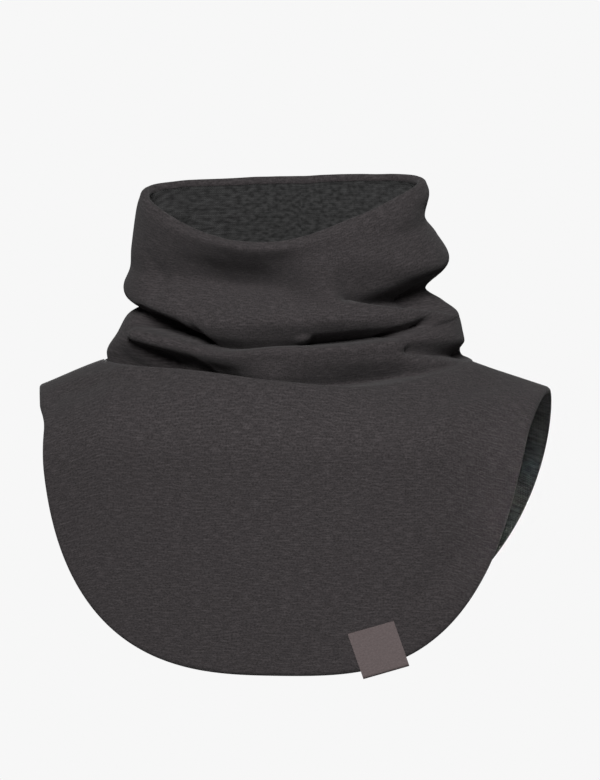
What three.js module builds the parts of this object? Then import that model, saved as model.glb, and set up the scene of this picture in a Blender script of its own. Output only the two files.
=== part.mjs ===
// A neck warmer in soft jersey: a tall collar that slouches into two rolls, a rounded bib in front and
// another behind, a second layer of cloth inside each of them, and a small label folded over the front hem.
// Millimetres. +Z is up, the front faces -Y, and +X is to the right of someone who faces it.
// The origin is the middle of the neck, at the height of the seam between the collar and the bibs.
import * as THREE from 'three'

// Cloth
const CLOTH = 1.2 // one layer
const LAYER_GAP = 0.3 // between the outer cloth and its lining
const SEAM_GAP = 0.3 // between two edges that are sewn together
const LINING_NEAR = CLOTH + LAYER_GAP // how deep the lining's near face lies under the outer surface
const LINING_FAR = LINING_NEAR + CLOTH // and its far face
const LINING_SETBACK = 0.6 // how far inside the hem the lining stops
const RIM_RADIUS = 1.7 // the collar's top edge, turned in over the lining
const RIM_TURN = 0.3 // how far down inside the turned edge reaches, in rows of the table of folds
const LINING_START = 0.07 // how far below that edge the collar's lining starts, in rows

// The collar's folds. A row is a line along the cloth, from the rim down to the neck seam, and a column is a
// direction from the middle of the neck, 45 degrees after the one before: [distance from the middle, height].
const DIRECTION_STEP = 45
const DIRECTIONS = ['right', 'backRight', 'back', 'backLeft', 'left', 'frontLeft', 'front', 'frontRight']
const FOLDS = {
  rim: {
    right: [72, 95.5], backRight: [52, 97.2], back: [41, 96], backLeft: [52, 94.8],
    left: [82, 90], frontLeft: [61, 69], front: [55, 65], frontRight: [58.5, 78],
  },
  rimFold: {
    right: [73.5, 89.5], backRight: [53, 91.5], back: [43, 90], backLeft: [53.5, 88.5],
    left: [83.5, 84.5], frontLeft: [61.5, 64.5], front: [55.8, 60.5], frontRight: [60.5, 73.5],
  },
  underRim: {
    right: [71.5, 77.5], backRight: [54, 79], back: [45, 79], backLeft: [55, 78],
    left: [85.3, 74], frontLeft: [58.5, 58.5], front: [52, 54.5], frontRight: [62, 64],
  },
  slope: {
    right: [78, 68], backRight: [57, 66], back: [48.5, 66], backLeft: [59, 65],
    left: [87.5, 60], frontLeft: [52.5, 51], front: [46, 48], frontRight: [64, 53],
  },
  belly: {
    right: [84.5, 54], backRight: [60, 53], back: [52, 53], backLeft: [63, 51],
    left: [88.3, 49], frontLeft: [47, 42.5], front: [41.5, 41], frontRight: [64.5, 42],
  },
  split: {
    right: [72, 39], backRight: [59, 42], back: [53.5, 42], backLeft: [66, 40],
    left: [92, 40], frontLeft: [51.5, 35], front: [46, 33.5], frontRight: [61.5, 33.5],
  },
  lowBelly: {
    right: [81.5, 31.3], backRight: [60.5, 33], back: [53, 33], backLeft: [65, 32],
    left: [90.5, 34.5], frontLeft: [60.5, 27], front: [54.5, 25], frontRight: [66, 25.5],
  },
  under: {
    right: [89, 26], backRight: [58.5, 27.5], back: [50, 27], backLeft: [61, 27],
    left: [84.5, 31], frontLeft: [57, 20.5], front: [50, 16.5], frontRight: [60, 18],
  },
  crease: {
    right: [90.5, 22.5], backRight: [57, 23], back: [48.5, 22], backLeft: [59, 23.5],
    left: [81, 28], frontLeft: [53, 16], front: [47, 11.5], frontRight: [56, 14],
  },
  ridge: {
    right: [92, 16.5], backRight: [63, 16], back: [55, 15], backLeft: [66, 17],
    left: [90, 22.5], frontLeft: [61.5, 11], front: [53, 7], frontRight: [63, 9.5],
  },
  band: {
    right: [93, 10], backRight: [66, 9], back: [57.5, 8], backLeft: [69, 9],
    left: [96, 12.5], frontLeft: [59.5, 5], front: [52.5, 1.5], frontRight: [62, 4],
  },
  valley: {
    right: [92, 4.5], backRight: [65, 3.5], back: [56, 3], backLeft: [68, 3],
    left: [101.5, 3.5], frontLeft: [56.5, -1.5], front: [51.5, -4.5], frontRight: [60, -3],
  },
  tuck: {
    right: [93.5, 0], backRight: [66.5, 1.5], back: [57, 1.5], backLeft: [69, 1],
    left: [100.5, -5], frontLeft: [57, -8.5], front: [51.5, -10], frontRight: [59.5, -11],
  },
  seam: {
    right: [98.5, -1.8], backRight: [70, 0], back: [59, 1], backLeft: [71, -0.5],
    left: [104, -2.6], frontLeft: [70, -3], front: [60, -7.5], frontRight: [71, -10.5],
  },
}
const LAST_ROW = Object.keys(FOLDS).length - 1

// Creases and hollows across the collar, each along a line [direction in degrees, height]: how wide it is
// below and above the line, and how deep at each end. A negative depth holds the cloth out instead
const CREASES = [
  { name: 'hollow under the rim', from: [204, 57], to: [230, 49], below: 18, above: 22, depth: [3, 5] },
  { name: 'cloth held out beside it', from: [292, 56], to: [300, 46], below: 13, above: 13, depth: [-6, -5] },
  { name: 'hollow at the right', from: [-54, 34], to: [-10, 25], below: 10, above: 26, depth: [5, 11] },
  { name: 'cavity at the left', from: [193, 24.5], to: [220, 17], below: 8, above: 10, depth: [10, 6] },
  { name: 'lip in front', from: [-69, 11.5], to: [-30, 15], below: 7, above: 9, depth: [5, 4] },
  { name: 'valley at the left', from: [194, 1], to: [252, -3], below: 10, above: 20, depth: [10, 1] },
  { name: 'crease at the right shoulder', from: [-26, 9], to: [4, 3], below: 6, above: 8, depth: [4, 3] },
  { name: 'turn at the left', from: [203, 84], to: [207, 66], below: 9, above: 9, depth: [2, 2] },
  { name: 'fold inside the back', from: [158, 78], to: [163, 62], below: 11, above: 11, depth: [9, 8] },
]
const SEWN_ROWS = 0.5 // creases end this many rows above the neck seam
const SAG = 0.25 // how far a crease that is steeper below hangs down behind its lip

// The bibs: an arch over the shoulders, from which each panel hangs straight
const ARCH = 46 // from the shoulder ridge down to where the cloth hangs straight
const ARCH_RUN = (ARCH * Math.PI) / 2 // the cloth that the arch takes
const TIP = { out: 140, height: -16.2 } // the shoulder's tip, from the middle of the neck
const SHOULDER = { from: 92, height: -0.2, tilt: 0.008 } // where it starts to slope, and how it tilts
const NECK_BLEND = 38 // how far the bib takes to leave the neck seam for the arch

// Dents in the front bib, each along a line [across, length of cloth from the shoulder ridge]
const BIB_DENTS = [
  { name: 'below the right shoulder', from: [76, 44], to: [106, 26], above: 6, below: 16, depth: 4.5 },
  { name: 'below the left shoulder', from: [-118, 26], to: [-66, 34], above: 9, below: 18, depth: 1.8 },
  { name: 'by the hem at the right', from: [78, 142], to: [106, 112], above: 13, below: 13, depth: 1.2 },
]

// A panel: which way it faces, how far out it hangs at its middle and at its sides, how far its hem drops
// below the shoulders' tips, how far down the tips flare and how it slopes outwards. Each side has its half
// width, how much of that it loses for each millimetre down, how round its hem is and how far the tip flares.
const FRONT = {
  towards: -1, middle: 86, side: 58, dents: BIB_DENTS,
  drop: 141.5, flareDrop: 18, spread: 0.02,
  left: { half: 127, taper: 0.03, round: 2.8, flare: 12 },
  right: { half: 134, taper: 0.18, round: 3.4, flare: 6 },
}
const BACK = {
  towards: 1, middle: 76, side: 58, dents: [],
  drop: 158, flareDrop: 18, spread: 0,
  left: { half: 141, taper: 0, round: 2.1, flare: 0 },
  right: { half: 141, taper: 0, round: 2.04, flare: 0 },
}
// The label, folded over the front hem
const LABEL = {
  width: 24.5, height: 20.8, thick: 0.8, bevel: 0.1, // its own size
  wrap: 4.3, clear: 0.6, // how far it reaches below the hem, and its gap to the cloth
  middle: 58.5, turn: 15.5, lean: 19, // where it lies across, and how it and its sides are turned, in degrees
}

// How finely the shapes are cut into facets
const STATIONS = 36 // around the collar
const STEP = 360 / STATIONS
const ROW_STEPS = 2 // between two rows of the table
const ROW_CLEAR = 0.3 // a step closer than this to where a layer starts is left out
const RIM_STEPS = 4 // around the turned rim
const BIB_STEPS = 9 // from the neck seam to the hem
const BIB_CROWD = 1.25 // the power by which those steps crowd towards the neck seam
const LABEL_STEPS = 4 // across the label
const HEM_SAMPLES = 240
const SHARE_STEP = 0.001 // used to find a place along the hem

// The small steps used to find which way a surface faces
const NUDGE = { degrees: 0.2, rows: 0.02, share: 0.002, down: 0.01, cloth: 1 }

const radians = (degrees) => (degrees * Math.PI) / 180
const clamp = (value, low, high) => Math.min(high, Math.max(low, value))
const halfTurn = (degrees) => ((((degrees + 180) % 360) + 360) % 360) - 180 // the same angle from -180 to 180
const TINY = 1e-9 // keeps a division by a distance from failing
const bump = (distance) => (Math.abs(distance) >= 1 ? 0 : (1 - distance * distance) ** 2)

// A smooth curve through four values, between the middle two
function cubic(before, start, end, after, f) {
  const bend = 2 * before - 5 * start + 4 * end - after + f * (3 * (start - end) + after - before)
  return start + 0.5 * f * (end - before + f * bend)
}

// The value of one row of the table in any direction. part 0 is the distance, 1 the height
function around(row, degrees, part) {
  const count = DIRECTIONS.length
  const place = (((degrees / DIRECTION_STEP) % count) + count) % count
  const first = Math.floor(place)
  const value = (step) => row[DIRECTIONS[(first + step + count) % count]][part]
  return cubic(value(-1), value(0), value(1), value(2), place - first)
}

// The value between rows, t rows down from the rim
function down(degrees, t, part) {
  const rows = Object.values(FOLDS)
  const first = clamp(Math.floor(t), 0, LAST_ROW - 1)
  const value = (row) => around(rows[row], degrees, part)
  const start = value(first)
  const end = value(first + 1)
  const before = first > 0 ? value(first - 1) : 2 * start - end
  const after = first + 2 <= LAST_ROW ? value(first + 2) : 2 * end - start
  return cubic(before, start, end, after, t - first)
}

// A point on the collar's outer surface
function collarPoint(degrees, t) {
  const start = down(degrees, t, 0)
  const level = down(degrees, t, 1)
  const sewn = Math.min(1, (LAST_ROW - t) / SEWN_ROWS)
  let reach = start
  let height = level
  for (const { from, to, below, above, depth } of CREASES) {
    const fromX = radians(halfTurn(from[0] - degrees)) * start
    const toX = fromX + radians(to[0] - from[0]) * start
    const near = lineNear(0, level, [fromX, from[1]], [toX, to[1]])
    const wide = below + (above - below) * (1 + near.above) / 2
    const deep = sewn * (depth[0] + (depth[1] - depth[0]) * near.along) * bump(near.distance / wide)
    reach -= deep
    height -= deep * SAG * (1 - below / above)
  }
  const a = radians(degrees)
  return new THREE.Vector3(reach * Math.cos(a), reach * Math.sin(a), height)
}

function crossNormal(point, u, v, du, dv) {
  const alongU = point(u + du, v).sub(point(u - du, v))
  const alongV = point(u, v + dv).sub(point(u, v - dv))
  return alongU.cross(alongV).normalize()
}

function collarNormal(degrees, t) {
  const inside = clamp(t, NUDGE.rows, LAST_ROW - NUDGE.rows)
  return crossNormal(collarPoint, degrees, inside, NUDGE.degrees, NUDGE.rows).negate()
}

// The shoulder ridge above the origin's height
function ridgeHeight(x) {
  const past = Math.max(0, Math.abs(x) - SHOULDER.from) / (TIP.out - SHOULDER.from)
  return SHOULDER.height + (TIP.height - SHOULDER.height) * past + SHOULDER.tilt * x
}

function hangDepth(panel, x) {
  return panel.side + (panel.middle - panel.side) * (1 - clamp(Math.abs(x) / TIP.out, 0, 1) ** 2)
}

// A point of a bib's outer surface: x across, and run, the length of cloth down from the shoulder ridge
function archPoint(panel, x, run) {
  const depth = hangDepth(panel, x)
  const angle = Math.min(run / ARCH_RUN, 1) * (Math.PI / 2)
  const fall = Math.max(0, run - ARCH_RUN)
  const point = new THREE.Vector3(x, 0, ridgeHeight(x) - ARCH * (1 - Math.cos(angle)) - fall)
  point.y = panel.towards * (depth * Math.sin(angle) + panel.spread * fall)
  const outwards = new THREE.Vector3(0, (panel.towards * Math.sin(angle)) / depth, Math.cos(angle) / ARCH)
  outwards.normalize()
  for (const { from, to, above, below, depth: deep } of panel.dents) {
    const near = lineNear(x, run, from, to) // lengths of cloth run down, so the line's upper side is below it
    const wide = above + (below - above) * (1 + near.above) / 2
    point.addScaledVector(outwards, -deep * bump(near.distance / wide))
  }
  return point
}

// How far a place is from a line, how far along it, from 0 to 1, and how much it lies above it, from -1 to 1
function lineNear(x, y, from, to) {
  const [dx, dy] = [to[0] - from[0], to[1] - from[1]]
  const length = Math.hypot(dx, dy)
  const along = clamp(((x - from[0]) * dx + (y - from[1]) * dy) / length ** 2, 0, 1)
  const distance = Math.hypot(x - from[0] - along * dx, y - from[1] - along * dy)
  const above = ((y - from[1]) * dx - (x - from[0]) * dy) / length
  return { distance, along, above: above / Math.max(distance, TINY) }
}

// The length of cloth from the ridge down to a height
function runTo(x, height) {
  const below = ridgeHeight(x) - height
  if (below >= ARCH) return ARCH_RUN + below - ARCH
  return (Math.acos(clamp(1 - below / ARCH, -1, 1)) / (Math.PI / 2)) * ARCH_RUN
}

// The hem of a panel, as points [x, run] at even lengths from its left tip to its right one
function hemLine(panel) {
  const points = []
  for (let i = 0; i <= HEM_SAMPLES; i++) {
    const a = Math.PI - (i / HEM_SAMPLES) * Math.PI
    const side = Math.cos(a) < 0 ? panel.left : panel.right
    const drop = panel.drop * Math.sin(a) ** (2 / side.round)
    const flare = side.flare * Math.max(0, 1 - drop / panel.flareDrop) ** 2
    const half = (side.half - side.taper * drop + flare) * Math.abs(Math.cos(a)) ** (2 / side.round)
    const x = Math.sign(Math.cos(a)) * half
    points.push(new THREE.Vector2(x, runTo(x, TIP.height + SHOULDER.tilt * x - drop)))
  }
  const lengths = [0]
  for (let i = 1; i < points.length; i++) lengths.push(lengths[i - 1] + points[i].distanceTo(points[i - 1]))
  return (share) => {
    const target = clamp(share, 0, 1) * lengths[lengths.length - 1]
    const after = Math.max(1, lengths.findIndex((length) => length >= target))
    const f = (target - lengths[after - 1]) / (lengths[after] - lengths[after - 1])
    return points[after - 1].clone().lerp(points[after], f)
  }
}

// A point on a bib's outer surface: share runs from 0 at the left shoulder to 1 at the right, and v from 0 at
// the neck seam to 1 at the hem
function bibSurface(panel) {
  const hem = hemLine(panel)
  return (share, v) => {
    const degrees = 180 - panel.towards * 180 * share
    const neck = collarPoint(degrees, LAST_ROW)
    const reach = clamp(Math.abs(neck.y) / hangDepth(panel, neck.x), 0, 1)
    const start = new THREE.Vector2(neck.x, (Math.asin(reach) / (Math.PI / 2)) * ARCH_RUN)
    const here = start.clone().lerp(hem(share), v)
    const lifted = neck.sub(archPoint(panel, start.x, start.y))
    const fade = bump(Math.min(1, here.distanceTo(start) / NECK_BLEND))
    return archPoint(panel, here.x, here.y).addScaledVector(lifted, fade)
  }
}

function bibNormal(panel, surface, share, v) {
  const u = clamp(share, NUDGE.share, 1 - NUDGE.share)
  const w = clamp(v, NUDGE.down, 1 - NUDGE.down)
  return crossNormal(surface, u, w, NUDGE.share, NUDGE.down).multiplyScalar(panel.towards)
}

// A closed solid from rings of points. A row of rings that doesn't close on itself gets an end cap at each
// end. From point `inside` on, a ring runs back along the cloth's other face, where the facets are cut the
// other way, so that two layers have their facets side by side
function sweep(name, rings, closes, material, inside = rings[0].length / 2) {
  const count = rings[0].length
  const positions = rings.flat().flatMap((p) => [p.x, p.y, p.z])
  const index = []
  const last = closes ? rings.length : rings.length - 1
  for (let i = 0; i < last; i++) {
    const here = i * count
    const next = ((i + 1) % rings.length) * count
    for (let k = 0; k < count; k++) {
      const l = (k + 1) % count
      if (k < inside) index.push(here + k, next + k, next + l, here + k, next + l, here + l)
      else index.push(here + k, next + k, here + l, next + k, next + l, here + l)
    }
  }
  if (!closes) {
    const end = (rings.length - 1) * count
    for (let k = 0; k < count / 2 - 1; k++) {
      const [a, b, c, d] = [k, k + 1, count - 2 - k, count - 1 - k]
      index.push(a, b, c, a, c, d)
      index.push(end + a, end + c, end + b, end + a, end + d, end + c)
    }
  }
  if (signedVolume(positions, index) < 0) index.reverse()
  const geometry = new THREE.BufferGeometry()
  geometry.setAttribute('position', new THREE.Float32BufferAttribute(positions, 3))
  geometry.setIndex(index)
  const mesh = new THREE.Mesh(geometry, material)
  mesh.name = name
  return mesh
}

function signedVolume(positions, index) {
  let volume = 0
  const corner = (i) => new THREE.Vector3().fromArray(positions, 3 * index[i])
  for (let i = 0; i < index.length; i += 3) volume += corner(i).dot(corner(i + 1).cross(corner(i + 2)))
  return volume
}

// Both sides of the neck seam share one direction into the cloth, so that their edges lie face to face
const panels = [
  { panel: FRONT, surface: bibSurface(FRONT) },
  { panel: BACK, surface: bibSurface(BACK) },
]

function seamNormal(degrees) {
  const turned = ((degrees % 360) + 360) % 360
  const { panel, surface } = panels[turned > 180 ? 0 : 1]
  const share = panel === FRONT ? turned / 180 - 1 : 1 - turned / 180
  return collarNormal(degrees, LAST_ROW).add(bibNormal(panel, surface, share, 0)).normalize()
}

// Points of the collar at a depth under its outer surface, t rows down
function collarAt(degrees, t, depth) {
  const point = collarPoint(degrees, t)
  const normal = t === LAST_ROW ? seamNormal(degrees) : collarNormal(degrees, t)
  if (t === LAST_ROW) {
    const up = collarPoint(degrees, t - NUDGE.rows).sub(point).normalize()
    point.addScaledVector(up, SEAM_GAP / 2)
  }
  return point.addScaledVector(normal, -depth)
}

const collarStations = Array.from({ length: STATIONS }, (_, i) => i * STEP)
const rows = (from) => {
  const list = [from]
  for (let i = 1; i <= LAST_ROW * ROW_STEPS; i++) {
    if (i / ROW_STEPS > from + ROW_CLEAR) list.push(i / ROW_STEPS)
  }
  return list
}

function collarRing(degrees) {
  const outside = rows(0).map((t) => collarAt(degrees, t, 0))
  const top = collarPoint(degrees, 0)
  const out = collarNormal(degrees, 0)
  const up = top.clone().sub(collarPoint(degrees, NUDGE.rows)).normalize()
  const rim = []
  for (let k = RIM_STEPS; k > 0; k--) {
    const a = (k / RIM_STEPS) * Math.PI
    const turned = top.clone().addScaledVector(out, RIM_RADIUS * (Math.cos(a) - 1))
    rim.push(turned.addScaledVector(up, RIM_RADIUS * Math.sin(a)))
  }
  const lip = collarAt(degrees, RIM_TURN, 2 * RIM_RADIUS)
  const inside = rows(RIM_TURN).map((t) => collarAt(degrees, t, CLOTH))
  return [...outside, ...inside.reverse(), lip, ...rim]
}

function collarLiningRing(degrees) {
  const list = rows(RIM_TURN + LINING_START)
  const near = list.map((t) => collarAt(degrees, t, LINING_NEAR))
  const far = list.map((t) => collarAt(degrees, t, LINING_FAR))
  return [...near, ...far.reverse()]
}

// One layer of a bib. It keeps half a seam's gap at the neck and on the shoulder ridge
function bibLayer(name, { panel, surface }, near, far, setback, material) {
  const rings = []
  for (let i = 0; i <= STATIONS / 2; i++) {
    const share = i / (STATIONS / 2)
    const onRidge = i === 0 || i === STATIONS / 2
    const degrees = 180 - panel.towards * 180 * share
    const neck = surface(share, 0)
    const first = ((SEAM_GAP / 2) * NUDGE.down) / neck.distanceTo(surface(share, NUDGE.down))
    const points = []
    for (let k = 0; k <= BIB_STEPS; k++) {
      const v = first + (1 - first) * (k / BIB_STEPS) ** BIB_CROWD
      const normal = k === 0 ? seamNormal(degrees) : bibNormal(panel, surface, share, v)
      const point = surface(share, v)
      if (onRidge) normal.y = 0
      if (onRidge) point.y = (panel.towards * SEAM_GAP) / 2
      points.push({ point, normal: normal.normalize() })
    }
    const [before, end] = points.slice(-2)
    end.point.lerp(before.point, setback / end.point.distanceTo(before.point))
    const layer = (depth) => points.map(({ point, normal }) => point.clone().addScaledVector(normal, -depth))
    rings.push([...layer(near), ...layer(far).reverse()])
  }
  return sweep(name, rings, false, material)
}

function hemLabel(material) {
  const share = shareAt(LABEL.middle)
  const centre = hemLine(FRONT)(share)
  const turn = radians(LABEL.turn)
  const lean = radians(LABEL.lean)
  const back = -LINING_FAR - LABEL.clear
  const outer = [
    [LABEL.height, LABEL.clear + LABEL.thick],
    [-LABEL.wrap, LABEL.clear + LABEL.thick],
    [-LABEL.wrap - LABEL.thick, LABEL.clear],
    [-LABEL.wrap - LABEL.thick, back],
    [-LABEL.wrap, back - LABEL.thick],
    [LABEL.height, back - LABEL.thick],
  ]
  const inner = [
    [LABEL.height, LABEL.clear],
    [LABEL.bevel - LABEL.wrap, LABEL.clear],
    [-LABEL.wrap, LABEL.clear - LABEL.bevel],
    [-LABEL.wrap, back + LABEL.bevel],
    [LABEL.bevel - LABEL.wrap, back],
    [LABEL.height, back],
  ]
  const rings = []
  for (let i = 0; i <= LABEL_STEPS; i++) {
    const across = LABEL.width * (i / LABEL_STEPS - 0.5)
    const place = ([up, out]) => {
      const x = centre.x + across * Math.cos(turn) - up * Math.sin(lean)
      const run = centre.y - across * Math.sin(turn) - up * Math.cos(lean)
      const surface = (a, b) => archPoint(FRONT, a, b)
      const normal = crossNormal(surface, x, run, NUDGE.cloth, NUDGE.cloth).negate()
      if (normal.y > 0) normal.negate()
      return archPoint(FRONT, x, run).addScaledVector(normal, out)
    }
    rings.push([...outer.map(place), ...inner.map(place).reverse()])
  }
  return sweep('hem_label', rings, false, material)
}

// The share of the front hem's length at which it is this far across
function shareAt(x) {
  const hem = hemLine(FRONT)
  let share = 0.5
  while (hem(share).x < x) share += SHARE_STEP
  return share
}

const jersey = new THREE.MeshStandardMaterial({ color: 0x3f393a, roughness: 0.95, metalness: 0 })
const fleece = new THREE.MeshStandardMaterial({ color: 0x343434, roughness: 1, metalness: 0 })
const ribbon = new THREE.MeshStandardMaterial({ color: 0x635956, roughness: 0.85, metalness: 0 })
const [front, back] = panels

const neckWarmer = new THREE.Group()
neckWarmer.add(sweep('collar', collarStations.map(collarRing), true, jersey, rows(0).length))
neckWarmer.add(sweep('collar_lining', collarStations.map(collarLiningRing), true, fleece))
neckWarmer.add(bibLayer('front_bib', front, 0, CLOTH, 0, jersey))
neckWarmer.add(bibLayer('front_lining', front, LINING_NEAR, LINING_FAR, LINING_SETBACK, fleece))
neckWarmer.add(bibLayer('back_bib', back, 0, CLOTH, 0, jersey))
neckWarmer.add(bibLayer('back_lining', back, LINING_NEAR, LINING_FAR, LINING_SETBACK, fleece))
neckWarmer.add(hemLabel(ribbon))

export default neckWarmer
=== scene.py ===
import bpy
import bmesh
import math
import numpy as np
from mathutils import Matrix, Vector


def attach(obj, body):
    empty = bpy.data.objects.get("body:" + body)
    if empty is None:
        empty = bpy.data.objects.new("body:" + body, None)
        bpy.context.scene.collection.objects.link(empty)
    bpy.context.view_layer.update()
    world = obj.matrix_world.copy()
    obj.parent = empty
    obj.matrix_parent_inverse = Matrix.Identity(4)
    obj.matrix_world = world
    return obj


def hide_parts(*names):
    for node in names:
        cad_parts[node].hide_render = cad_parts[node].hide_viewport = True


# A neck warmer: a slouched double collar over a rounded front bib and a back bib, each with its lining,
# and a small folded label on the front hem. Shapes are worked out in millimetres, +Z up, front to -Y.

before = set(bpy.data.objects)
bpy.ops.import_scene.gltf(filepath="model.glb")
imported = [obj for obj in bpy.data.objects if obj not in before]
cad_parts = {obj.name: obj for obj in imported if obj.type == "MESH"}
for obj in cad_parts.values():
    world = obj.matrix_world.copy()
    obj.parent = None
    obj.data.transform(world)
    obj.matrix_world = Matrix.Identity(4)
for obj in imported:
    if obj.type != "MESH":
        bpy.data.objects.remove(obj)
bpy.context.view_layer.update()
mm = 0.001
print("frame loaded:", sorted(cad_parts))

# The cloth

cloth = {
    "thick": 1.2,       # one layer
    "gap": 0.3,         # between a layer and its lining
    "seamDip": 0.25,    # how deep a sewn edge sinks in
    "seamWidth": 2.4,   # and how far from the edge that starts
    "seamTurn": 7.0,    # near a seam both sides turn to face one way, over this length
    "sharpFrom": 50,    # edges turned by more degrees than this stay sharp
}
layerDepth = cloth["thick"] * 2 + cloth["gap"]   # the lining's far face under the outer one
hemRadius = layerDepth / 2                       # both layers roll round to meet in the middle

# small steps along a surface, to find which way it faces
nudge = {"degrees": 0.2, "rows": 0.02, "share": 0.002, "down": 0.01, "cloth": 1}
tiny = 1e-12        # keeps a division by a length from failing
weldWithin = 1e-6   # metres

# The collar. Columns are directions from the middle of the neck, 45 degrees apart: right, backRight, back,
# backLeft, left, frontLeft, front, frontRight. A pair is how far out the cloth is, and how high.
collar = {
    "columnStep": 45,
    "folds": {
        "rim": [(72, 95.5), (52, 97.2), (41, 96), (52, 94.8),
                (82, 90), (61, 69), (55, 65), (58.5, 78)],
        "rimFold": [(73.5, 89.5), (53, 91.5), (43, 90), (53.5, 88.5),
                    (83.5, 84.5), (62.5, 66.7), (56.3, 62.6), (60.5, 73.5)],
        "underRim": [(71.5, 77.5), (54, 79), (45, 79), (55, 78),
                     (85.3, 74), (58.3, 59.3), (50.5, 56.5), (62, 64)],
        "slope": [(78, 68), (57, 66), (48.5, 66), (59, 65),
                  (87.5, 60), (51, 50.5), (44.5, 48.5), (64, 53)],
        "belly": [(84.5, 54), (60, 53), (52, 53), (63, 51),
                  (88.3, 49), (46.5, 42.5), (42.5, 41), (64.5, 42)],
        "split": [(72, 39), (59, 42), (53.5, 42), (66, 40),
                  (92, 40), (50.5, 35.5), (47, 33.5), (61.5, 33.5)],
        "lowBelly": [(81.5, 31.3), (60.5, 33), (53, 33), (65, 32),
                     (90.5, 34.5), (61, 25), (54.5, 25), (66, 25.5)],
        "under": [(89, 26), (58.5, 27.5), (50, 27), (61, 27),
                  (84.5, 31), (59.5, 17.5), (50, 16.5), (60, 18)],
        "crease": [(90.5, 22.5), (57, 23), (48.5, 22), (59, 23.5),
                   (81, 28), (50, 9.5), (44, 10), (52.5, 12.5)],
        "ridge": [(92, 16.5), (63, 16), (55, 15), (66, 17),
                  (90, 22.5), (58.5, 6.8), (52, 9), (62, 11)],
        "band": [(93, 10), (66, 9), (57.5, 8), (69, 9),
                 (96, 12.5), (59.5, 3), (51.5, 3), (61.5, 4.5)],
        "valley": [(92, 4.5), (65, 3.5), (56, 3), (68, 3),
                   (101.5, 3.5), (56, -2), (50.5, -4.5), (60, -3)],
        "tuck": [(93.5, 0), (66.5, 1.5), (57, 1.5), (69, 1),
                 (100.5, -5), (53, -9), (48.5, -10), (57.5, -11)],
        "seam": [(98.5, -1.8), (70, 0), (59, 1), (71, -0.5),
                 (104, -2.6), (70, -3), (60, -7.5), (71, -10.5)],
    },
    # across the folds: a line from (degrees, height) to another, how wide it is below and above, and how
    # deep at each end. A minus depth stands out
    "creases": [
        ((203, 45), (250, 45), 14, 16, 3, 2),           # hollow under the rim
        ((288, 50), (297, 36), 16, 18, -4.5, -4),       # beside it the cloth stays out
        ((-50, 36), (-10, 29), 3, 24, 8, 19),           # hollow at the right
        ((-40, 40), (-12, 40), 7, 7, -1, -2),           # the cloth held out above that
        ((195, 18.5), (216, 11.5), 1.8, 14, 28, 11),    # cavity under the upper roll, left
        ((-69, 11.5), (-30, 15), 3, 8, 9, 7),           # and under its lip in front, at the right
        ((-30, 15.8), (-19, 20.6), 3, 7, 8, 6),         # the lip goes on
        ((-19, 20.6), (-13, 26.5), 3, 5, 4, 0),         # and runs out
        ((-77, 14.5), (-74, 15), 4, 4, -2.5, -2.5),     # a nose on the lip
        ((214, 21.5), (216, 21), 4, 4, -1.5, -1.5),     # a smaller one at the left
        ((198, 14), (212, 10), 8, 9, -6, -1),           # the lower roll, held out at the left
        ((197, 3), (212, -1), 11, 11, 16, 7),           # where the valley below it starts
        ((191, -9), (243, -11), 4, 20, 26, 3),          # valley above the left shoulder
        ((-80, -9), (-30, -9), 8, 14, 4, 8),            # above the bib's edge, right of the middle
        ((-25, 7), (3, 1.5), 5, 9, 6, 7),               # above the right shoulder
        ((196, 58), (201, 36), 4, 4, 1, 2),             # edge of the lobe behind
        ((-26, 76), (-8, 77), 7, 7, -1, -1),            # a swell below the rim, right
        ((162, 88), (167, 64), 10, 15, 2, 8),           # fold inside the back
    ],
    "creaseFade": 0.5,      # creases end this many rows above the neck seam
    "sag": 0.15,            # how far a crease that is steeper below hangs down behind its lip
    # unevenness of the cloth: waves round the collar, their slant down it, where they start, how strong
    "waves": [(5, 1.3, 0.6, 1), (9, -1.9, 2.1, 0.8), (14, 2.7, 4.0, 0.6), (23, -2.2, 1.0, 0.5)],
    "waveHeight": 0.12,
    "waveFade": 1.5,        # they end this many rows above the neck seam
    "rimRadius": 1.4,       # of the turned top edge
    "rimTurn": 0.12,        # how far down inside the turned edge reaches, in rows
    "liningLoose": 3,       # how much wider the creases are in the lining, which lies looser
    "liningStart": 0.17,    # where the lining shows from, in rows
    "length": 470,          # round the cloth, for the pattern
    "around": 240, "perRow": 12, "insideRows": 4, "rimRows": 8,   # facets
    "liningAround": 150, "liningPerRow": 22,
}
foldTable = np.array(list(collar["folds"].values()), float)
lastRow = len(foldTable) - 1

# The bibs: an arch over the shoulders, from which each panel hangs straight

shoulders = {
    "arch": 46,                           # from the ridge down to where the cloth hangs straight
    "tipOut": 140, "tipHeight": -16.2,    # the shoulder's tip
    "slopeFrom": 92, "slopeTop": -0.2,    # where the ridge starts to slope
    "tilt": 0.008,
    "neckBlend": 38,                      # from the neck seam out to the plain arch
}
archRun = shoulders["arch"] * math.pi / 2

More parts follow.
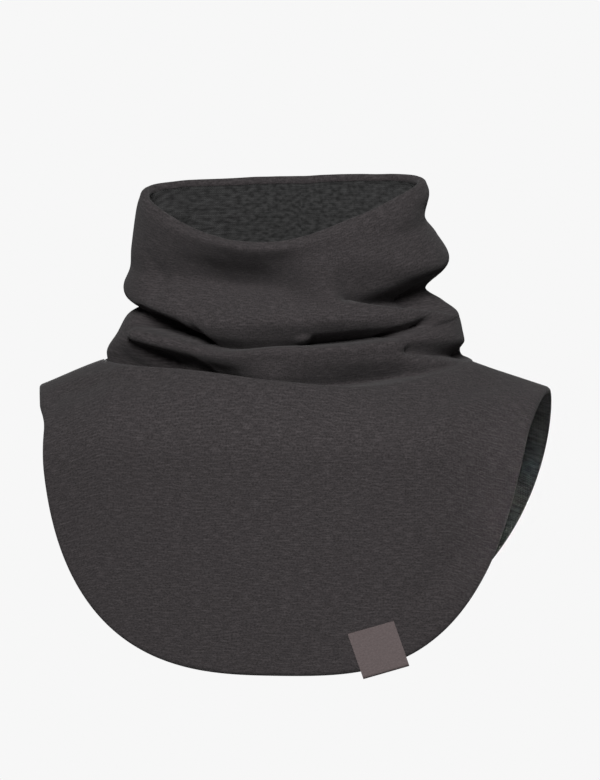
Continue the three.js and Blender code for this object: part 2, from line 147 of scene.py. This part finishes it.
# A side is its half width, how much of that it loses for each millimetre down, how round its hem is and how
# far the tip flares. A dent is a line from (across, down) to another, how wide it is above and below, and
# how deep.
frontPanel = {
    "towards": -1, "middle": 86, "side": 58, "drop": 141.5, "flareDrop": 18, "spread": 0.02,
    "left": (127, 0.03, 2.8, 13), "right": (134, 0.18, 3.4, 6),
    "dents": [
        ((80, 43), (103, 25), 26, 12, 2.6),       # below the right shoulder
        ((-118, 26), (-66, 34), 8, 18, 2.6),      # below the left shoulder
        ((78, 142), (106, 112), 13, 13, 1.2),     # by the hem at the right
    ],
    "across": 230, "down": 160,                   # facets
}
backPanel = {
    "towards": 1, "middle": 76, "side": 58, "drop": 158, "flareDrop": 18, "spread": 0,
    "left": (141, 0, 2.1, 0), "right": (141, 0, 2.04, 0),
    "dents": [],
    "across": 200, "down": 110,
}
bibs = {
    "hemSamples": 241,
    "rollRows": 5,          # rows of facets round a hem
    "rowCrowd": 1.15,       # the power by which rows crowd towards the neck
    "patternStart": 300,    # where the pattern starts across
}


def bump(distance):
    return np.where(np.abs(distance) < 1, (1 - np.minimum(distance ** 2, 1)) ** 2, 0)


def cubic(before, start, end, after, f):
    bend = 2 * before - 5 * start + 4 * end - after + f * (3 * (start - end) + after - before)
    return start + 0.5 * f * (end - before + f * bend)


def unit(vectors):
    return vectors / np.maximum(np.linalg.norm(vectors, axis=-1, keepdims=True), tiny)


def lineDistance(x, y, fromX, fromY, toX, toY):
    # how far from the line, how far along it from 0 to 1, and on which side from -1 to 1
    dx, dy = toX - fromX, toY - fromY
    f = np.clip(((x - fromX) * dx + (y - fromY) * dy) / (dx * dx + dy * dy), 0, 1)
    distance = np.hypot(x - fromX - f * dx, y - fromY - f * dy)
    beside = ((y - fromY) * dx - (x - fromX) * dy) / np.hypot(dx, dy)
    return distance, f, beside / np.maximum(distance, tiny)


def foldAt(degrees, t):
    place = degrees / collar["columnStep"]
    column = np.floor(place).astype(int)
    f = (place - column)[..., None]
    row = np.clip(np.floor(t).astype(int), 0, lastRow - 1)

    def around(r):
        columns = [(column + step) % foldTable.shape[1] for step in (-1, 0, 1, 2)]
        return cubic(*[foldTable[np.clip(r, 0, lastRow), c] for c in columns], f)

    start, end = around(row), around(row + 1)
    before = np.where((row > 0)[..., None], around(row - 1), 2 * start - end)
    after = np.where((row + 2 <= lastRow)[..., None], around(row + 2), 2 * end - start)
    return cubic(before, start, end, after, (t - row)[..., None])


def unevenness(degrees, t):
    a = np.radians(degrees)
    wave = 0
    for turns, slant, start, strong in collar["waves"]:
        wave = wave + strong * np.sin(turns * a + slant * t + start)
    return collar["waveHeight"] * wave * np.minimum(1, (lastRow - t) / collar["waveFade"])


def collarPoint(degrees, t, loose=0):
    fold = foldAt(degrees, t)
    start, height = fold[..., 0], fold[..., 1]
    reach = start
    sewn = np.minimum(1, (lastRow - t) / collar["creaseFade"])
    sag = 0 * height
    for begin, end, below, above, fromDepth, toDepth in collar["creases"]:
        fromX = np.radians((begin[0] - degrees + 180) % 360 - 180) * start
        toX = fromX + math.radians(end[0] - begin[0]) * start
        distance, along, side = lineDistance(0, height, fromX, begin[1], toX, end[1])
        wide = below + (above - below) * (1 + side) / 2 + math.copysign(loose, fromDepth)
        depth = sewn * (fromDepth + (toDepth - fromDepth) * along) * bump(distance / wide)
        reach = reach - depth
        sag = sag + depth * collar["sag"] * (1 - below / above)
    reach = reach + unevenness(degrees, t)
    a = np.radians(degrees)
    return np.stack([reach * np.cos(a), reach * np.sin(a), height - sag], axis=-1)


def collarNormal(degrees, t, loose=0):
    turn, step = nudge["degrees"], nudge["rows"]
    t = np.clip(t, step, lastRow - step)
    alongU = collarPoint(degrees + turn, t, loose) - collarPoint(degrees - turn, t, loose)
    alongV = collarPoint(degrees, t + step, loose) - collarPoint(degrees, t - step, loose)
    return -unit(np.cross(alongU, alongV))


def ridgeHeight(x):
    s = shoulders
    past = np.maximum(0, np.abs(x) - s["slopeFrom"]) / (s["tipOut"] - s["slopeFrom"])
    return s["slopeTop"] + (s["tipHeight"] - s["slopeTop"]) * past + s["tilt"] * x


def hangDepth(panel, x):
    share = np.clip(np.abs(x) / shoulders["tipOut"], 0, 1)
    return panel["side"] + (panel["middle"] - panel["side"]) * (1 - share ** 2)


def archPoint(panel, x, run):
    # x across, and run, the length of cloth down from the shoulder ridge
    depth = hangDepth(panel, x)
    angle = np.minimum(run / archRun, 1) * math.pi / 2
    fall = np.maximum(0, run - archRun)
    y = panel["towards"] * (depth * np.sin(angle) + panel["spread"] * fall)
    z = ridgeHeight(x) - shoulders["arch"] * (1 - np.cos(angle)) - fall
    out = [0 * x, panel["towards"] * np.sin(angle) / depth, np.cos(angle) / shoulders["arch"]]
    out = unit(np.stack(out, axis=-1))
    point = np.stack([x, y, z], axis=-1)
    for (fromX, fromRun), (toX, toRun), above, below, depthIn in panel["dents"]:
        distance, _, side = lineDistance(x, run, fromX, fromRun, toX, toRun)
        wide = above + (below - above) * (1 + side) / 2
        point = point - out * (depthIn * bump(distance / wide))[..., None]
    return point


def runTo(x, height):
    below = ridgeHeight(x) - height
    arch = shoulders["arch"]
    onArch = np.arccos(np.clip(1 - below / arch, -1, 1)) / (math.pi / 2) * archRun
    return np.where(below >= arch, archRun + below - arch, onArch)


def hemLine(panel):
    a = np.pi - np.linspace(0, 1, bibs["hemSamples"]) * np.pi
    onLeft = np.cos(a) < 0
    sides = zip(panel["left"], panel["right"])
    half, taper, roundness, flare = (np.where(onLeft, left, right) for left, right in sides)
    drop = panel["drop"] * np.maximum(np.sin(a), 0) ** (2 / roundness)
    flared = flare * np.maximum(0, 1 - drop / panel["flareDrop"]) ** 2
    x = np.sign(np.cos(a)) * (half - taper * drop + flared) * np.abs(np.cos(a)) ** (2 / roundness)
    run = runTo(x, shoulders["tipHeight"] + shoulders["tilt"] * x - drop)
    lengths = np.concatenate([[0], np.cumsum(np.hypot(np.diff(x), np.diff(run)))])
    return lengths / lengths[-1], x, run


def bibPlace(panel, share, v):
    # where a point lies on the flat cloth: across, down from the ridge, and from the neck seam
    degrees = 180 - panel["towards"] * 180 * share
    neck = collarPoint(degrees, np.full_like(share, lastRow))
    reach = np.clip(np.abs(neck[..., 1]) / hangDepth(panel, neck[..., 0]), 0, 1)
    startRun = np.arcsin(reach) / (math.pi / 2) * archRun
    hemShare, hemX, hemRun = panel["hem"]
    x = neck[..., 0] + (np.interp(share, hemShare, hemX) - neck[..., 0]) * v
    run = startRun + (np.interp(share, hemShare, hemRun) - startRun) * v
    fromNeck = np.hypot(x - neck[..., 0], run - startRun)
    return neck, startRun, x, run, fromNeck


def bibPoint(panel, share, v):
    neck, startRun, x, run, fromNeck = bibPlace(panel, share, v)
    lifted = neck - archPoint(panel, neck[..., 0], startRun)
    fade = bump(np.minimum(1, fromNeck / shoulders["neckBlend"]))
    return archPoint(panel, x, run) + lifted * fade[..., None]


def bibNormal(panel, share, v):
    step, down = nudge["share"], nudge["down"]
    share = np.clip(share, step, 1 - step)
    v = np.clip(v, down, 1 - down)
    alongU = bibPoint(panel, share + step, v) - bibPoint(panel, share - step, v)
    alongV = bibPoint(panel, share, v + down) - bibPoint(panel, share, v - down)
    return panel["towards"] * unit(np.cross(alongU, alongV))


def seamNormal(degrees):
    # both sides of the neck seam face this way
    turned = degrees % 360
    atSeam = np.full_like(turned, lastRow)
    fromFront = bibNormal(frontPanel, np.clip(turned / 180 - 1, 0, 1), 0 * turned)
    fromBack = bibNormal(backPanel, np.clip(1 - turned / 180, 0, 1), 0 * turned)
    bib = np.where((turned > 180)[..., None], fromFront, fromBack)
    return unit(collarNormal(turned, atSeam) + bib)


def sewnEdge(distance):
    return cloth["seamDip"] * np.maximum(0, 1 - distance / cloth["seamWidth"]) ** 2


def collarLayer(degrees, t, depth, loose=0):
    point = collarPoint(degrees, t, loose)
    toSeam = np.linalg.norm(point - collarPoint(degrees, np.full_like(t, lastRow)), axis=-1)
    turn = bump(np.minimum(1, toSeam / cloth["seamTurn"]))[..., None]
    turn = np.where((t > lastRow - 1)[..., None], turn, 0)
    normal = unit(collarNormal(degrees, t, loose) * (1 - turn) + seamNormal(degrees) * turn)
    dip = np.where(t > lastRow - 1, sewnEdge(toSeam), 0)
    return point - normal * (depth + dip)[..., None]


def bibLayer(panel, share, v, depth):
    point = bibPoint(panel, share, v)
    fromNeck = bibPlace(panel, share, v)[-1]
    degrees = 180 - panel["towards"] * 180 * share
    turn = bump(np.minimum(1, fromNeck / cloth["seamTurn"]))[..., None]
    normal = unit(bibNormal(panel, share, v) * (1 - turn) + seamNormal(degrees) * turn)
    onRidge = (share <= 0) | (share >= 1)
    normal = unit(np.where(onRidge[..., None], normal * np.array([1, 0, 1]), normal))
    dip = np.maximum(sewnEdge(fromNeck), sewnEdge(np.abs(point[..., 1])))
    return point - normal * (depth + dip)[..., None]


for panel in (frontPanel, backPanel):
    panel["hem"] = hemLine(panel)


# Sheets of cloth: a grid that a rule puts in place, with the cloth's own lengths as its UV map

def sheetMesh(name, across, down, place, closed, thick):
    # a wall of the thickness is added inwards, or outwards where thick is minus
    bm = bmesh.new()
    bmesh.ops.create_grid(bm, x_segments=across, y_segments=down, size=0.5)
    bm.verts.ensure_lookup_table()
    flat = np.array([v.co[:2] for v in bm.verts]) + 0.5
    points, weave = place(flat[:, 0], flat[:, 1])
    uvLayer = bm.loops.layers.uv.new("cloth")
    for face in bm.faces:
        face.smooth = True
        for loop in face.loops:
            loop[uvLayer].uv = weave[loop.vert.index] * mm
    for vert, point in zip(bm.verts, points):
        vert.co = Vector(point) * mm
    if closed:
        withinEdge = 0.1 / across   # of the first and the last column, which meet
        edges = [v for v, f in zip(bm.verts, flat) if f[0] < withinEdge or f[0] > 1 - withinEdge]
        bmesh.ops.remove_doubles(bm, verts=edges, dist=weldWithin)
    mesh = bpy.data.meshes.new(name)
    bm.to_mesh(mesh)
    bm.free()
    obj = bpy.data.objects.new(name, mesh)
    bpy.context.scene.collection.objects.link(obj)
    wall = obj.modifiers.new("wall", "SOLIDIFY")
    wall.thickness = abs(thick) * mm
    wall.offset = -1 if thick > 0 else 1
    wall.use_even_offset = False
    applyModifiers(obj)
    obj.data.set_sharp_from_angle(angle=math.radians(cloth["sharpFrom"]))
    return obj


def applyModifiers(obj):
    shown = obj.evaluated_get(bpy.context.evaluated_depsgraph_get())
    mesh = bpy.data.meshes.new_from_object(shown)
    mesh.name = obj.name
    old = obj.data
    obj.modifiers.clear()
    obj.data = mesh
    bpy.data.meshes.remove(old)


def clothLengths(points, columns, rows, down):
    # how far down the cloth each row lies, from the mean step between rows
    order = np.argsort(down, kind="stable")
    sheet = points[order].reshape(rows + 1, columns + 1, 3)
    steps = np.linalg.norm(np.diff(sheet, axis=0), axis=2).mean(axis=1)
    lengths = np.concatenate([[0], np.cumsum(steps)])
    return lengths[np.round(down * rows).astype(int)]


# The collar: rows up the inside of the rim, round it and down the outside

rimStart = collar["insideRows"]
rimEnd = rimStart + collar["rimRows"]
collarRows = rimEnd + lastRow * collar["perRow"]
liningRows = lastRow * collar["liningPerRow"]


def placeCollar(u, w):
    k = w * collarRows
    degrees = 90 + 360 * u
    radius = collar["rimRadius"]
    top = collarPoint(degrees, 0 * u)
    out = collarNormal(degrees, 0 * u)
    up = unit(top - collarPoint(degrees, 0 * u + nudge["rows"]))
    angle = np.clip((rimEnd - k) / collar["rimRows"], 0, 1)[:, None] * math.pi
    rim = top + out * radius * (np.cos(angle) - 1) + up * radius * np.sin(angle)
    turned = np.clip((rimStart - k) / rimStart, 0, 1) * collar["rimTurn"]
    inside = collarLayer(degrees, turned, np.full_like(u, 2 * radius))
    outside = collarLayer(degrees, np.clip((k - rimEnd) / collar["perRow"], 0, lastRow), 0 * u)
    points = np.where((k <= rimEnd)[:, None], rim, outside)
    points = np.where((k < rimStart)[:, None], inside, points)
    lengths = clothLengths(points, collar["around"], collarRows, w)
    return points, np.stack([u * collar["length"], -lengths], -1)


def placeCollarLining(u, w):
    degrees = 90 + 360 * u
    t = collar["liningStart"] + (lastRow - collar["liningStart"]) * w
    points = collarLayer(degrees, t, np.full_like(u, layerDepth), collar["liningLoose"])
    lengths = clothLengths(points, collar["liningAround"], liningRows, w)
    return points, np.stack([u * collar["length"], -lengths], -1)


collarPiece = sheetMesh("collarCloth", collar["around"], collarRows, placeCollar, True, cloth["thick"])
collarLiningPiece = sheetMesh("collarLiningCloth", collar["liningAround"], liningRows, placeCollarLining,
                              True, -cloth["thick"])
print("collar made")


# The bibs: rows from the neck seam down to the hem, which rolls to the layers' middle

def placeBib(panel, depth, turnsIn):
    def place(u, w):
        k = w * (panel["down"] + bibs["rollRows"])
        length = bibPlace(panel, u, 0 * u + 1)[-1]
        hemStop = 1 - hemRadius / length
        main = hemStop * np.clip(k / panel["down"], 0, 1) ** bibs["rowCrowd"]
        angle = np.clip((k - panel["down"]) / bibs["rollRows"], 0, 1) * math.pi / 2
        v = np.where(k <= panel["down"], main, 1 - hemRadius * (1 - np.sin(angle)) / length)
        rolled = hemRadius * (1 - np.cos(angle)) * turnsIn
        points = bibLayer(panel, u, v, depth + rolled)
        _, _, x, run, _ = bibPlace(panel, u, v)
        return points, np.stack([x + bibs["patternStart"], -run], -1)

    return place


def bibPair(side, panel):
    # the outer cloth and its lining
    rows = panel["down"] + bibs["rollRows"]
    outer = sheetMesh(side + "BibCloth", panel["across"], rows, placeBib(panel, 0, 1), False, cloth["thick"])
    lining = sheetMesh(side + "LiningCloth", panel["across"], rows, placeBib(panel, layerDepth, -1),
                       False, -cloth["thick"])
    return outer, lining


frontPiece, frontLiningPiece = bibPair("front", frontPanel)
backPiece, backLiningPiece = bibPair("back", backPanel)
print("bibs made")

# The label: one ribbon folded over the hem

label = {
    "width": 24.5, "height": 20.8, "thick": 0.6,
    "wrap": 4.3, "clear": 0.5,           # how far it hangs below the hem, and its gap to the cloth
    "middle": 58.5,                      # where it lies across
    "turn": 15.5, "lean": 19,            # how it and its sides are turned, in degrees
    "squash": 0.45, "bendTake": 0.35,    # how flat the fold is, and what it takes of the straight parts
    "across": 24, "down": 90,            # facets
}


def placeLabel(u, w):
    _, hemX, hemRun = frontPanel["hem"]
    onRight = hemX > 0
    centreRun = np.interp(label["middle"], hemX[onRight], hemRun[onRight])
    outFace = label["clear"] + label["thick"]
    backFace = -layerDepth - label["clear"] - label["thick"]
    radius = (outFace - backFace) / 2
    bend = radius * math.pi
    straight = label["height"] + label["wrap"] - radius * label["bendTake"]
    s = w * (2 * straight + bend)
    angle = np.clip((s - straight) / bend, 0, 1) * math.pi
    lowest = -label["wrap"] + radius * label["squash"]
    tall = label["height"] - lowest
    inFront = label["height"] - tall * s / straight
    behind = lowest + tall * (s - straight - bend) / straight
    folded = lowest - radius * label["squash"] * np.sin(angle)
    up = np.where(s < straight, inFront, np.where(s > straight + bend, behind, folded))
    out = (outFace + backFace) / 2 + radius * np.cos(angle)
    across = label["width"] * (u - 0.5)
    turn, lean = math.radians(label["turn"]), math.radians(label["lean"])
    x = label["middle"] + across * math.cos(turn) - up * math.sin(lean)
    run = centreRun - across * math.sin(turn) - up * math.cos(lean)
    step = nudge["cloth"]
    alongX = archPoint(frontPanel, x + step, run) - archPoint(frontPanel, x - step, run)
    alongRun = archPoint(frontPanel, x, run + step) - archPoint(frontPanel, x, run - step)
    normal = unit(np.cross(alongX, alongRun))
    normal = normal * -np.sign(normal[..., 1:2])   # towards the front
    points = archPoint(frontPanel, x, run) + normal * out[:, None]
    return points, np.stack([across, -s], -1)


labelPiece = sheetMesh("hemLabelRibbon", label["across"], label["down"], placeLabel, False, label["thick"])
print("label made")


# Materials

def nodeGroup(name, inputs, outputs):
    group = bpy.data.node_groups.new(name, "ShaderNodeTree")
    for socketName, kind, value in inputs:
        socket = group.interface.new_socket(name=socketName, in_out="INPUT", socket_type=kind)
        if value is not None:
            socket.default_value = value
    for socketName in outputs:
        group.interface.new_socket(name=socketName, in_out="OUTPUT", socket_type="NodeSocketFloat")
    return group, group.nodes.new("NodeGroupInput").outputs, group.nodes.new("NodeGroupOutput").inputs


def mathNode(tree, kind, a, b=None, clamped=False):
    node = tree.nodes.new("ShaderNodeMath")
    node.operation = kind
    node.use_clamp = clamped
    for socket, value in zip(node.inputs, (a, b)):
        if isinstance(value, (int, float)):
            socket.default_value = value
        elif value is not None:
            tree.links.new(value, socket)
    return node.outputs[0]


def noiseOn(tree, vector, fineness, detail, roughness):
    # fineness: how many specks to a metre, as one number or as one for each direction
    if isinstance(fineness, tuple):
        mapping = tree.nodes.new("ShaderNodeMapping")
        mapping.inputs["Scale"].default_value = fineness
        tree.links.new(vector, mapping.inputs["Vector"])
        vector = mapping.outputs[0]
        fineness = 1
    noise = tree.nodes.new("ShaderNodeTexNoise")
    noise.inputs["Scale"].default_value = fineness
    noise.inputs["Detail"].default_value = detail
    noise.inputs["Roughness"].default_value = roughness
    tree.links.new(vector, noise.inputs["Vector"])
    return noise.outputs["Fac"]


def widen(tree, value, lowHigh):
    node = tree.nodes.new("ShaderNodeMapRange")
    node.inputs["From Min"].default_value, node.inputs["From Max"].default_value = lowHigh
    tree.links.new(value, node.inputs["Value"])
    return node.outputs["Result"]


# heathered yarn: fine mottling, level streaks of single pale yarns, and slow changes over the cloth
heatherYarn = {
    "fine": (900, 1250, 1), "fineRange": (0.25, 0.75), "fineShare": 0.6,
    "streak": (190, 1150, 1), "streakRange": (0.45, 0.8),
    "slow": 60, "slowDetail": 2, "slowShare": 0.1,
    "detail": 1, "roughness": 0.5,
}
heather, given, made = nodeGroup(
    "heather",
    [("Cloth", "NodeSocketVector", None), ("Place", "NodeSocketVector", None),
     ("Streaks", "NodeSocketFloat", 0.5)],
    ["Mix", "Height"],
)
detail, roughness = heatherYarn["detail"], heatherYarn["roughness"]
fine = noiseOn(heather, given["Cloth"], heatherYarn["fine"], detail, roughness)
streak = noiseOn(heather, given["Cloth"], heatherYarn["streak"], detail, roughness)
slow = noiseOn(heather, given["Place"], heatherYarn["slow"], heatherYarn["slowDetail"], roughness)
fine = widen(heather, fine, heatherYarn["fineRange"])
fine = mathNode(heather, "MULTIPLY", fine, heatherYarn["fineShare"])
streak = widen(heather, streak, heatherYarn["streakRange"])
streak = mathNode(heather, "MULTIPLY", streak, given["Streaks"])
slow = mathNode(heather, "MULTIPLY", slow, heatherYarn["slowShare"])
mixed = mathNode(heather, "ADD", mathNode(heather, "ADD", fine, streak), slow)
heather.links.new(mathNode(heather, "MULTIPLY", mixed, 1.0, clamped=True), made["Mix"])
heather.links.new(mixed, made["Height"])

# terry: short loops in broken, uneven ribs across the cloth
terryYarn = {
    "ribs": (190, 560, 1), "ribDetail": 1, "ribRoughness": 0.45, "ribRange": (0.3, 0.7),
    "ends": (700, 1100, 1), "endDetail": 2, "endRoughness": 0.6, "endRange": (0.25, 0.75),
    "endShare": 0.35, "level": 0.74,
}
terry, given, made = nodeGroup(
    "terry",
    [("Cloth", "NodeSocketVector", None), ("Ribs", "NodeSocketFloat", 1.0)],
    ["Mix", "Height"],
)
ribs = noiseOn(terry, given["Cloth"], terryYarn["ribs"], terryYarn["ribDetail"], terryYarn["ribRoughness"])
ends = noiseOn(terry, given["Cloth"], terryYarn["ends"], terryYarn["endDetail"], terryYarn["endRoughness"])
ribs = mathNode(terry, "MULTIPLY", widen(terry, ribs, terryYarn["ribRange"]), given["Ribs"])
ends = mathNode(terry, "MULTIPLY", widen(terry, ends, terryYarn["endRange"]), terryYarn["endShare"])
loft = mathNode(terry, "ADD", ribs, ends)
terry.links.new(mathNode(terry, "MULTIPLY", loft, terryYarn["level"], clamped=True), made["Mix"])
terry.links.new(loft, made["Height"])

# knit: columns of stitches across rows of them, their sizes in millimetres
knitStitch = {"sway": 3.0, "rowShare": 0.5, "columnShare": -0.5}
knit, given, made = nodeGroup(
    "knit",
    [("Cloth", "NodeSocketVector", None), ("Column", "NodeSocketFloat", 0.9),
     ("Row", "NodeSocketFloat", 0.7)],
    ["Height"],
)
parts = knit.nodes.new("ShaderNodeSeparateXYZ")
knit.links.new(given["Cloth"], parts.inputs[0])
turnsForMm = 2 * math.pi / mm
turnsX = mathNode(knit, "MULTIPLY", parts.outputs["X"], turnsForMm)
turnsX = mathNode(knit, "DIVIDE", turnsX, given["Column"])
turnsY = mathNode(knit, "MULTIPLY", parts.outputs["Y"], turnsForMm)
turnsY = mathNode(knit, "DIVIDE", turnsY, given["Row"])
swing = mathNode(knit, "SINE", mathNode(knit, "MULTIPLY", turnsX, 0.5))
swing = mathNode(knit, "MULTIPLY", mathNode(knit, "ABSOLUTE", swing), knitStitch["sway"])
stitch = mathNode(knit, "SINE", mathNode(knit, "ADD", turnsY, swing))
stitch = mathNode(knit, "MULTIPLY", stitch, knitStitch["rowShare"])
column = mathNode(knit, "MULTIPLY", mathNode(knit, "COSINE", turnsX), knitStitch["columnShare"])
knit.links.new(mathNode(knit, "ADD", stitch, column), made["Height"])

clothFinish = {"specular": 0.2, "sheenRoughness": 0.6, "bumpStrength": 0.5}
clothLooks = {   # bump in metres, stitches in millimetres
    "jersey": {
        "yarn": heather, "amount": 0.5, "stitches": (0.9, 0.7), "bump": 0.00007,
        "dark": (0.023, 0.0202, 0.0209), "light": (0.086, 0.0755, 0.0782),
        "roughness": 0.95, "sheen": 0.08,
    },
    "fleece": {
        "yarn": terry, "amount": 1.0, "stitches": (1.4, 1.0), "bump": 0.0004,
        "dark": (0.014, 0.014, 0.014), "light": (0.068, 0.068, 0.068),
        "roughness": 1.0, "sheen": 0.1,
    },
    "ribbon": {
        "yarn": heather, "amount": 0.2, "stitches": (0.45, 0.45), "bump": 0.00005,
        "dark": (0.135, 0.108, 0.108), "light": (0.210, 0.169, 0.169),
        "roughness": 0.8, "sheen": 0.0,
    },
}


def clothMaterial(name, look):
    material = bpy.data.materials.new(name)
    material.use_nodes = True
    nodes, links = material.node_tree.nodes, material.node_tree.links
    shader = nodes["Principled BSDF"]
    shader.inputs["Roughness"].default_value = look["roughness"]
    shader.inputs["Specular IOR Level"].default_value = clothFinish["specular"]
    shader.inputs["Sheen Weight"].default_value = look["sheen"]
    shader.inputs["Sheen Roughness"].default_value = clothFinish["sheenRoughness"]
    uv = nodes.new("ShaderNodeUVMap")
    uv.uv_map = "cloth"
    yarn = nodes.new("ShaderNodeGroup")
    yarn.node_tree = look["yarn"]
    yarn.inputs[-1].default_value = look["amount"]
    links.new(uv.outputs["UV"], yarn.inputs["Cloth"])
    if "Place" in yarn.inputs:
        place = nodes.new("ShaderNodeTexCoord")
        links.new(place.outputs["Object"], yarn.inputs["Place"])
    mix = nodes.new("ShaderNodeMix")
    mix.data_type = "RGBA"
    mix.inputs["A"].default_value = (*look["dark"], 1)
    mix.inputs["B"].default_value = (*look["light"], 1)
    links.new(yarn.outputs["Mix"], mix.inputs["Factor"])
    links.new(mix.outputs["Result"], shader.inputs["Base Color"])
    loops = nodes.new("ShaderNodeGroup")
    loops.node_tree = knit
    loops.inputs["Column"].default_value, loops.inputs["Row"].default_value = look["stitches"]
    links.new(uv.outputs["UV"], loops.inputs["Cloth"])
    height = nodes.new("ShaderNodeMath")
    height.operation = "ADD"
    links.new(yarn.outputs["Height"], height.inputs[0])
    links.new(loops.outputs["Height"], height.inputs[1])
    relief = nodes.new("ShaderNodeBump")
    relief.inputs["Strength"].default_value = clothFinish["bumpStrength"]
    relief.inputs["Distance"].default_value = look["bump"]
    links.new(height.outputs[0], relief.inputs["Height"])
    links.new(relief.outputs["Normal"], shader.inputs["Normal"])
    return material


materials = {name: clothMaterial(name, look) for name, look in clothLooks.items()}
print("materials made")

pieces = [   # what it replaces, and its cloth
    (collarPiece, "collar", "jersey"),
    (collarLiningPiece, "collar_lining", "fleece"),
    (frontPiece, "front_bib", "jersey"),
    (frontLiningPiece, "front_lining", "fleece"),
    (backPiece, "back_bib", "jersey"),
    (backLiningPiece, "back_lining", "fleece"),
    (labelPiece, "hem_label", "ribbon"),
]
for obj, node, slot in pieces:
    obj.data.materials.clear()
    obj.data.materials.append(materials[slot])
    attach(obj, "root")
    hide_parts(node)
    triangles = sum(len(p.vertices) - 2 for p in obj.data.polygons)
    area = sum(p.area for p in obj.data.polygons) / 2   # of one side
    print(obj.name, "area", round(area, 5), "triangles", triangles)

# The studio: a pale floor, a soft key light from above and in front, and weaker ones round it

studio = {
    "floorDrop": 0.32, "floorReach": 20, "floorShade": 0.06,
    "pale": 0.93,     # what the camera sees of the floor and beyond
    "fill": 0.02,
    "lights": [       # name, place, what it points at, size, power, how wide its beam opens
        ("key", (0.15, -2.05, 1.25), (0, 0, 0), 0.8, 51.5, 180),
        ("side", (1.7, -1.1, 0.5), (0, 0, 0), 0.6, 0.7, 180),
        ("strip", (1.0, -1.6, -0.08), (0.13, 0.06, -0.09), 0.1, 0.032, 4),
        ("rear", (-0.25, 2.05, 0.1), (0, 0, -0.04), 0.4, 26, 180),
    ],
}
paleColour = (studio["pale"],) * 3 + (1,)


def paleMaterial():
    material = bpy.data.materials.new("paleFloor")
    material.use_nodes = True
    nodes, links = material.node_tree.nodes, material.node_tree.links
    shader = nodes["Principled BSDF"]
    shader.inputs["Base Color"].default_value = (studio["floorShade"],) * 3 + (1,)
    glow = nodes.new("ShaderNodeEmission")
    glow.inputs["Color"].default_value = paleColour
    seen = nodes.new("ShaderNodeLightPath")
    pick = nodes.new("ShaderNodeMixShader")
    links.new(seen.outputs["Is Camera Ray"], pick.inputs["Fac"])
    links.new(shader.outputs[0], pick.inputs[1])
    links.new(glow.outputs[0], pick.inputs[2])
    links.new(pick.outputs[0], nodes["Material Output"].inputs["Surface"])
    return material


bm = bmesh.new()
bmesh.ops.create_grid(bm, x_segments=1, y_segments=1, size=studio["floorReach"])
bmesh.ops.translate(bm, verts=bm.verts, vec=(0, 0, -studio["floorDrop"]))
floorMesh = bpy.data.meshes.new("floor")
bm.to_mesh(floorMesh)
bm.free()
floor = bpy.data.objects.new("floor", floorMesh)
bpy.context.scene.collection.objects.link(floor)
floorMesh.materials.append(paleMaterial())

world = bpy.data.worlds.new("studio")
bpy.context.scene.world = world
world.use_nodes = True
worldNodes, worldLinks = world.node_tree.nodes, world.node_tree.links
worldNodes["Background"].inputs["Color"].default_value = (1, 1, 1, 1)
worldNodes["Background"].inputs["Strength"].default_value = studio["fill"]
seenBackground = worldNodes.new("ShaderNodeBackground")
seenBackground.inputs["Color"].default_value = paleColour
rays = worldNodes.new("ShaderNodeLightPath")
pickWorld = worldNodes.new("ShaderNodeMixShader")
worldLinks.new(rays.outputs["Is Camera Ray"], pickWorld.inputs["Fac"])
worldLinks.new(worldNodes["Background"].outputs[0], pickWorld.inputs[1])
worldLinks.new(seenBackground.outputs[0], pickWorld.inputs[2])
worldLinks.new(pickWorld.outputs[0], worldNodes["World Output"].inputs["Surface"])

for name, place, aim, size, power, beam in studio["lights"]:
    lamp = bpy.data.lights.new(name, "AREA")
    lamp.size = size
    lamp.energy = power
    lamp.spread = math.radians(beam)
    lampObject = bpy.data.objects.new(name, lamp)
    bpy.context.scene.collection.objects.link(lampObject)
    lampObject.location = place
    lampObject.rotation_euler = (Vector(place) - Vector(aim)).to_track_quat("Z", "Y").to_euler()
print("studio made")

# The camera, at the photograph's angle

view = {
    "azimuth": 7.0, "elevation": 6.0,     # degrees round from the front, and up
    "lens": 135.0, "sensor": 36.0,
    "frame": (600, 780),                  # pixels
    "origin": (292, 358),                 # the pixel at which the part's origin lies
    "pixel": 0.547,                       # millimetres to a pixel
}
azimuth, elevation = math.radians(view["azimuth"]), math.radians(view["elevation"])
right = Vector((math.cos(azimuth), math.sin(azimuth), 0))
front = Vector((math.sin(azimuth), -math.cos(azimuth), 0))
back = front * math.cos(elevation) + Vector((0, 0, math.sin(elevation)))
up = back.cross(right)
width, height = view["frame"]
shift = right * (width / 2 - view["origin"][0]) - up * (height / 2 - view["origin"][1])
distance = view["lens"] / view["sensor"] * height * view["pixel"]
camera = bpy.data.cameras.new("camera")
camera.lens = view["lens"]
camera.sensor_width = view["sensor"]
cameraObject = bpy.data.objects.new("camera", camera)
bpy.context.scene.collection.objects.link(cameraObject)
cameraObject.location = (shift * view["pixel"] + back * distance) * mm
cameraObject.rotation_euler = back.to_track_quat("Z", "Y").to_euler()
bpy.context.scene.camera = cameraObject
bpy.context.scene.view_settings.view_transform = "Standard"
